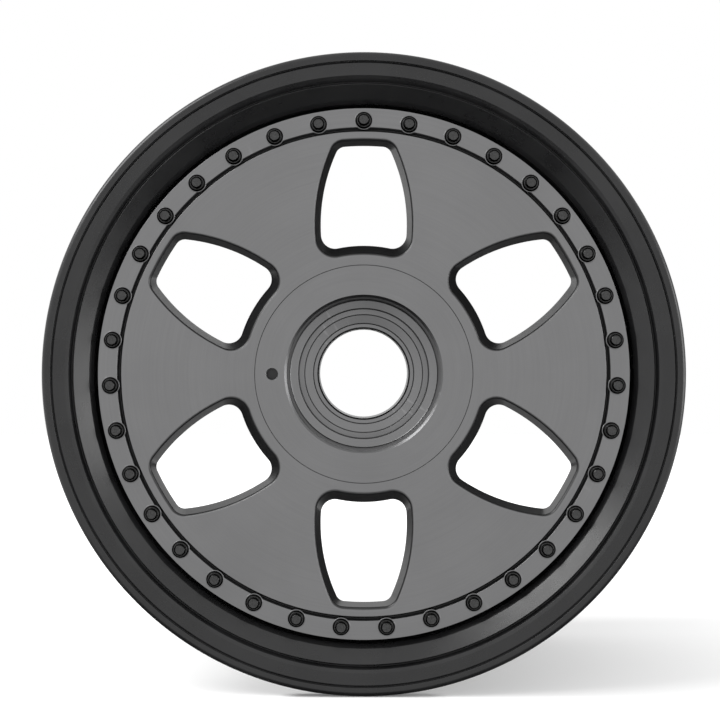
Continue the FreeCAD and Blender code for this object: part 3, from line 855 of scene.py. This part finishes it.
# Floor, light and camera

def seen_directly(tree):
    """1 for what the camera, a mirror or glass shows, and 0 for light that falls on a surface."""
    path = add_node(tree, "ShaderNodeLightPath").outputs
    seen = arithmetic(tree, "MAXIMUM", path["Is Camera Ray"], path["Is Glossy Ray"])
    return arithmetic(tree, "MAXIMUM", seen, path["Is Transmission Ray"])


def light_world():
    """A white room all round, which looks brighter than the light that it gives."""
    world = bpy.data.worlds.new("studio")
    bpy.context.scene.world = world
    world.use_nodes = True
    tree = world.node_tree
    sky = tree.nodes["Background"]
    sky.inputs["Color"].default_value = (1, 1, 1, 1)
    tree.links.new(spread(tree, seen_directly(tree), 0.6, 1.0), sky.inputs["Strength"])


def lay_sheet(name, place, width, depth, material, turn=0.0):
    """A flat sheet of the stage, lying or turned up about its long side."""
    bm = bmesh.new()
    lying = Matrix.Diagonal((width / 2, depth / 2, 1, 1))
    upright = Matrix.Translation(place) @ Matrix.Rotation(turn, 4, "X")
    bmesh.ops.create_grid(bm, x_segments=1, y_segments=1, size=1.0, matrix=upright @ lying)
    sheet = show_mesh(name, bm, material)
    return sheet


def lay_floor():
    """A white floor that keeps the wheel's shadow; steep mirror images of it are dark, as over a pit."""
    width = 8.0
    material = bpy.data.materials.new("white floor")
    material.use_nodes = True
    tree = material.node_tree
    tree.nodes.clear()
    paint_and_shade = add_node(tree, "ShaderNodeBsdfDiffuse", inputs={"Color": (0.8, 0.8, 0.8, 1)})
    glow = add_node(tree, "ShaderNodeEmission")
    far = add_node(tree, "ShaderNodeVectorMath", operation="LENGTH")
    tree.links.new(add_node(tree, "ShaderNodeTexCoord").outputs["Object"], far.inputs[0])
    reach = add_node(
        tree,
        "ShaderNodeMapRange",
        interpolation_type="SMOOTHSTEP",
        inputs={"From Min": 0.3, "From Max": 1.4, "To Min": 0.12, "To Max": 0.75},
    )
    tree.links.new(far.outputs["Value"], reach.inputs["Value"])
    shown = arithmetic(tree, "MULTIPLY", reach.outputs["Result"], seen_directly(tree))
    tree.links.new(shown, glow.inputs["Strength"])
    both = add_node(tree, "ShaderNodeAddShader")
    tree.links.new(paint_and_shade.outputs[0], both.inputs[0])
    tree.links.new(glow.outputs[0], both.inputs[1])
    slant = add_node(tree, "ShaderNodeLayerWeight", inputs={"Blend": 0.5}).outputs["Facing"]
    image = add_node(tree, "ShaderNodeEmission")
    low = add_node(tree, "ShaderNodeMapRange", inputs={"From Min": 0.4, "From Max": 0.7, "To Min": 0.02})
    tree.links.new(slant, low.inputs["Value"])
    tree.links.new(low.outputs["Result"], image.inputs["Strength"])
    choice = add_node(tree, "ShaderNodeMixShader")
    tree.links.new(add_node(tree, "ShaderNodeLightPath").outputs["Is Glossy Ray"], choice.inputs["Fac"])
    tree.links.new(both.outputs[0], choice.inputs[1])
    tree.links.new(image.outputs[0], choice.inputs[2])
    output = add_node(tree, "ShaderNodeOutputMaterial")
    tree.links.new(choice.outputs[0], output.inputs["Surface"])
    lay_sheet("floor", (0, 0, FLOOR), width, width, material)


def place_dark_card(name, place, width, depth, turn=0.0):
    """A dark card behind the wheel that only shows in its gloss; turned, it stands on edge."""
    material = new_finish(name, Base_Color=(0.01, 0.01, 0.01, 1), Roughness=1.0)[0]
    card = lay_sheet(name, place, width, depth, material, turn)
    card.visible_camera = False
    card.visible_diffuse = False
    card.visible_shadow = False


def hang_softbox(name, place, aim, size, watts, mirrored=True):
    """A square lamp; one that isn't mirrored shows in no gloss and only throws shadows."""
    lamp = bpy.data.lights.new(name, "AREA")
    lamp.shape = "SQUARE"
    lamp.size = size
    lamp.energy = watts
    box = bpy.data.objects.new(name, lamp)
    box.location = place
    box.rotation_euler = (Vector(aim) - Vector(place)).to_track_quat("-Z", "Y").to_euler()
    box.visible_camera = False
    box.visible_glossy = mirrored
    bpy.context.scene.collection.objects.link(box)


def set_camera():
    """A camera square on to the wheel, as in the photograph."""
    camera = bpy.data.cameras.new("camera")
    camera.sensor_fit = "HORIZONTAL"
    camera.lens_unit = "FOV"
    camera.angle = CAMERA_ANGLE
    holder = bpy.data.objects.new("camera", camera)
    holder.location = CAMERA_PLACE
    holder.rotation_euler = (math.pi / 2, 0, 0)
    bpy.context.scene.collection.objects.link(holder)
    bpy.context.scene.camera = holder


forging = turned_forging()
make_disc(forging)
make_bolt_pads(forging)
make_bolts(black_oxide())
make_rim(satin_black())
dress_node("drive_bushes", plain_metal("ground steel", (0.42, 0.42, 0.43), (0.55, 0.55, 0.56), 0.25))
plated = plain_metal("nickel plate", (0.5, 0.5, 0.51), (0.62, 0.62, 0.63), 0.18)
for node in ("valve_stem", "valve_washer", "valve_nut"):
    dress_node(node, plated)
dress_node("valve_core", plain_metal("turned brass", (0.5, 0.36, 0.14), (0.6, 0.45, 0.2), 0.25))
dress_node("valve_seal", plain_black("seal rubber", 0.6))
dress_node("valve_cap", plain_black("cap plastic", 0.45))

light_world()
lay_floor()
place_dark_card("lying dark card", (0, 1.25, FLOOR + 0.002), 1.8, 1.4)
place_dark_card("standing dark card", (0.85, 0.55, 0.07), 1.3, 0.66, math.pi / 2)
hang_softbox("upper left softbox", (-1.1, -0.7, 1.1), (0.1, -0.13, -0.1), 0.9, 15)
hang_softbox("right softbox", (1.6, -0.7, 0.1), (-0.1, -0.13, 0), 0.9, 9)
hang_softbox("left floor lamp", (-1.6, -0.12, 0.5), (0.2, -0.08, FLOOR), 0.2, 36, mirrored=False)
hang_softbox("right floor lamp", (1.6, -0.12, 0.5), (-0.2, -0.08, FLOOR), 0.2, 18, mirrored=False)
set_camera()
bpy.context.scene.view_settings.view_transform = "Standard"
